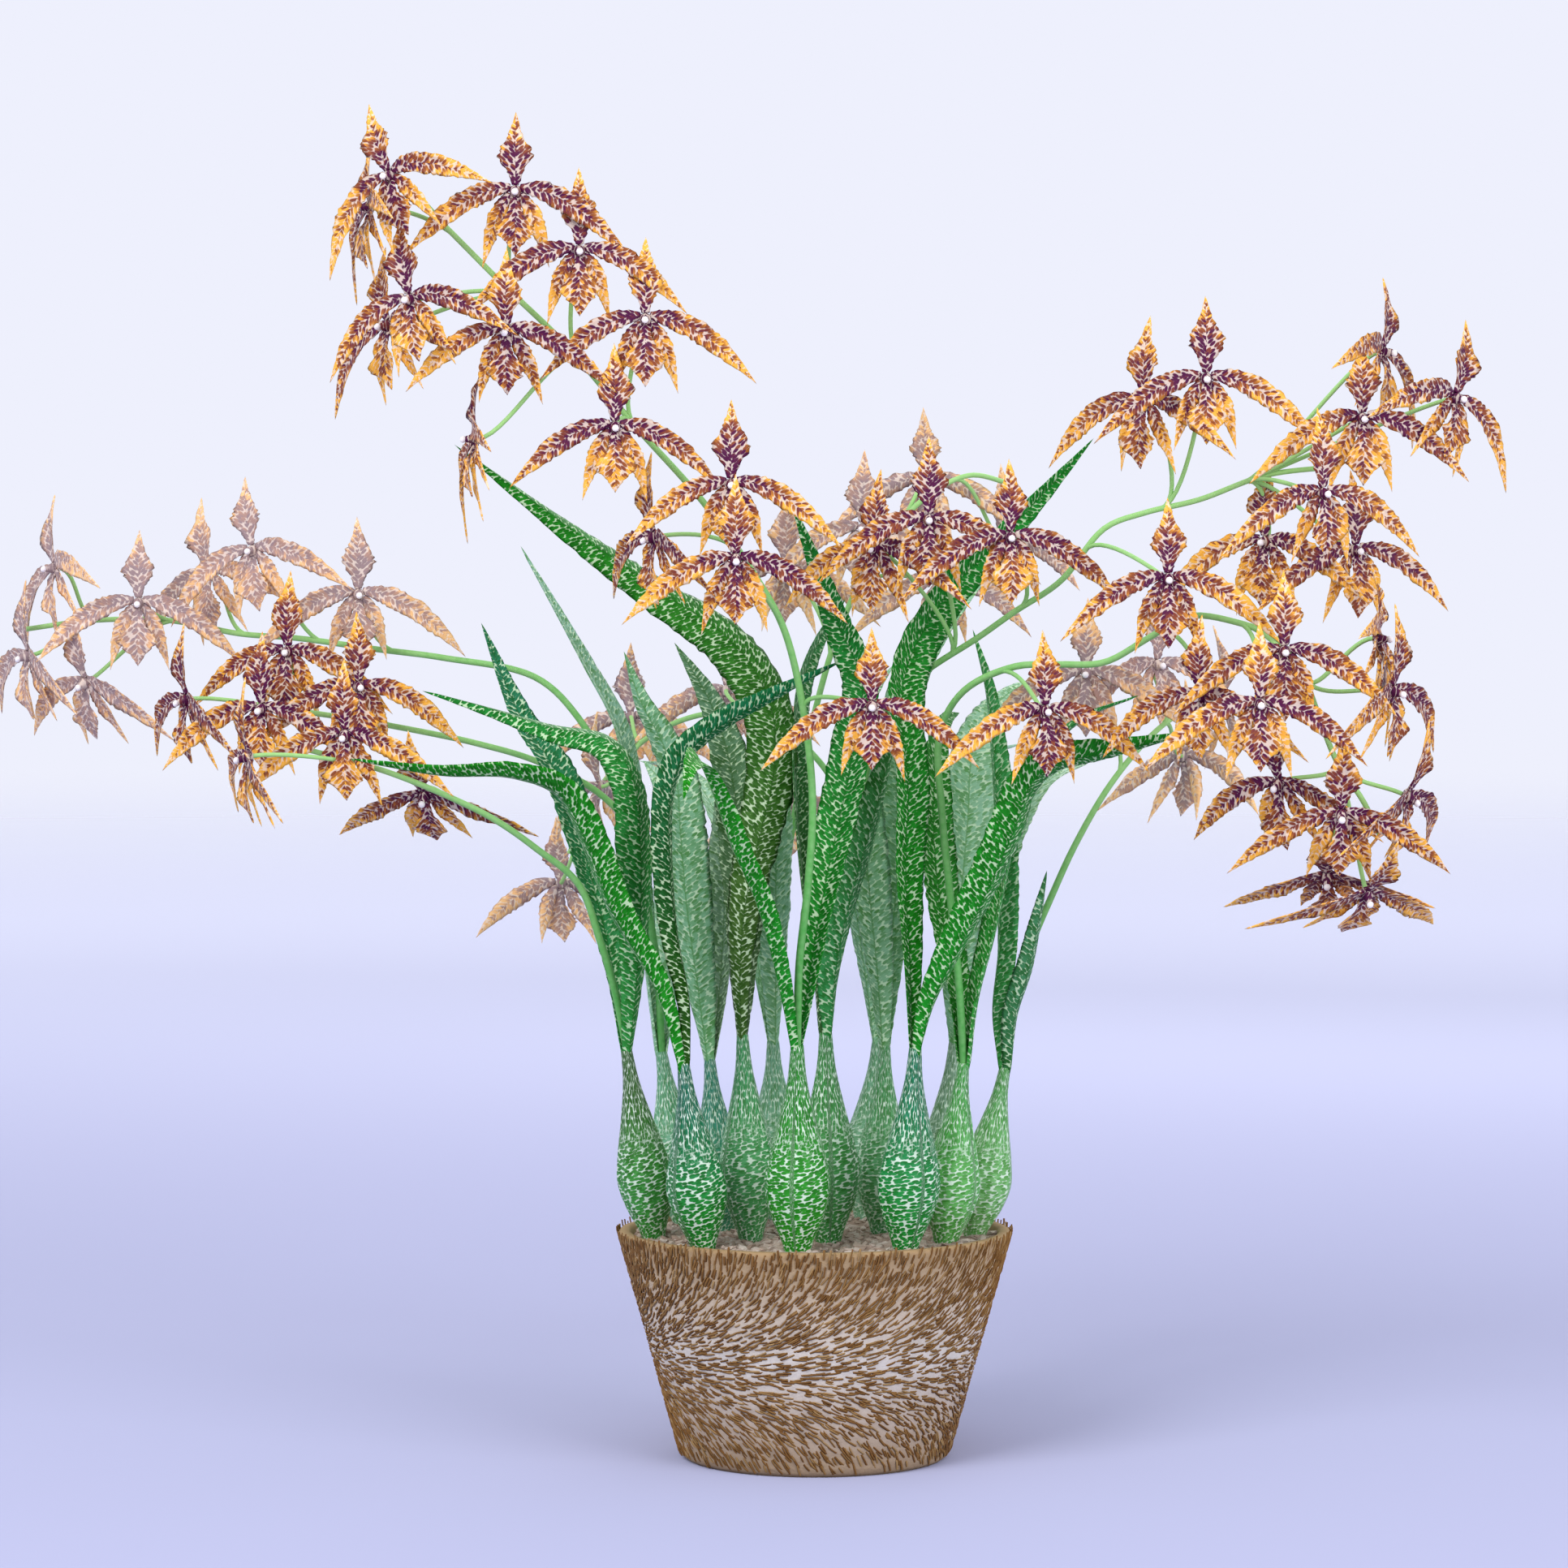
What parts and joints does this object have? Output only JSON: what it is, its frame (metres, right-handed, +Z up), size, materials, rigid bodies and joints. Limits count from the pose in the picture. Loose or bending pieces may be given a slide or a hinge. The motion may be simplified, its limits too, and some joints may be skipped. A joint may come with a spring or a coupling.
{
  "type": "potted orchid",
  "caption": "Potted orchid: tapered coir pot of bark mix, flask-shaped pseudobulbs with paired strap leaves, and arching sprays of star-shaped flowers.",
  "frame": {"origin": "middle of the pot's flat foot, on the surface that it stands on", "axes": "+Z up the pot's axis; -Y is the front, where the high spray is at the left; +X is to the right seen from the front"},
  "size_m": [0.6969, 0.4048, 0.6059],
  "materials": {
    "pot": "matte",
    "potting_mix": "matte",
    "pseudobulb": "satin",
    "leaf": "satin",
    "spray": "satin"
  },
  "bodies": {
    "root": {"pot": "pot", "potting_mix": "potting_mix", "pseudobulb_01": "pseudobulb", "pseudobulb_02": "pseudobulb", "pseudobulb_03": "pseudobulb", "pseudobulb_04": "pseudobulb", "pseudobulb_05": "pseudobulb", "pseudobulb_06": "pseudobulb", "pseudobulb_07": "pseudobulb", "pseudobulb_08": "pseudobulb", "pseudobulb_09": "pseudobulb", "pseudobulb_10": "pseudobulb", "pseudobulb_11": "pseudobulb", "pseudobulb_12": "pseudobulb", "pseudobulb_13": "pseudobulb", "pseudobulb_14": "pseudobulb", "leaf_01a": "leaf", "leaf_01b": "leaf", "leaf_02a": "leaf", "leaf_02b": "leaf", "leaf_03a": "leaf", "leaf_03b": "leaf", "leaf_04a": "leaf", "leaf_04b": "leaf", "leaf_05a": "leaf", "leaf_05b": "leaf", "leaf_06a": "leaf", "leaf_06b": "leaf", "leaf_07a": "leaf", "leaf_07b": "leaf", "leaf_08a": "leaf", "leaf_08b": "leaf", "leaf_09a": "leaf", "leaf_09b": "leaf", "leaf_10a": "leaf", "leaf_10b": "leaf", "leaf_11a": "leaf", "leaf_11b": "leaf", "leaf_12a": "leaf", "leaf_12b": "leaf", "leaf_13a": "leaf", "leaf_13b": "leaf", "leaf_14a": "leaf", "leaf_14b": "leaf", "spray_left_high": "spray", "spray_right_high": "spray", "spray_right_low": "spray", "spray_left_back": "spray", "spray_left_middle": "spray", "spray_left_low": "spray", "spray_back_high": "spray", "spray_right_back": "spray", "spray_back_low": "spray"}
  },
  "joints": []
}
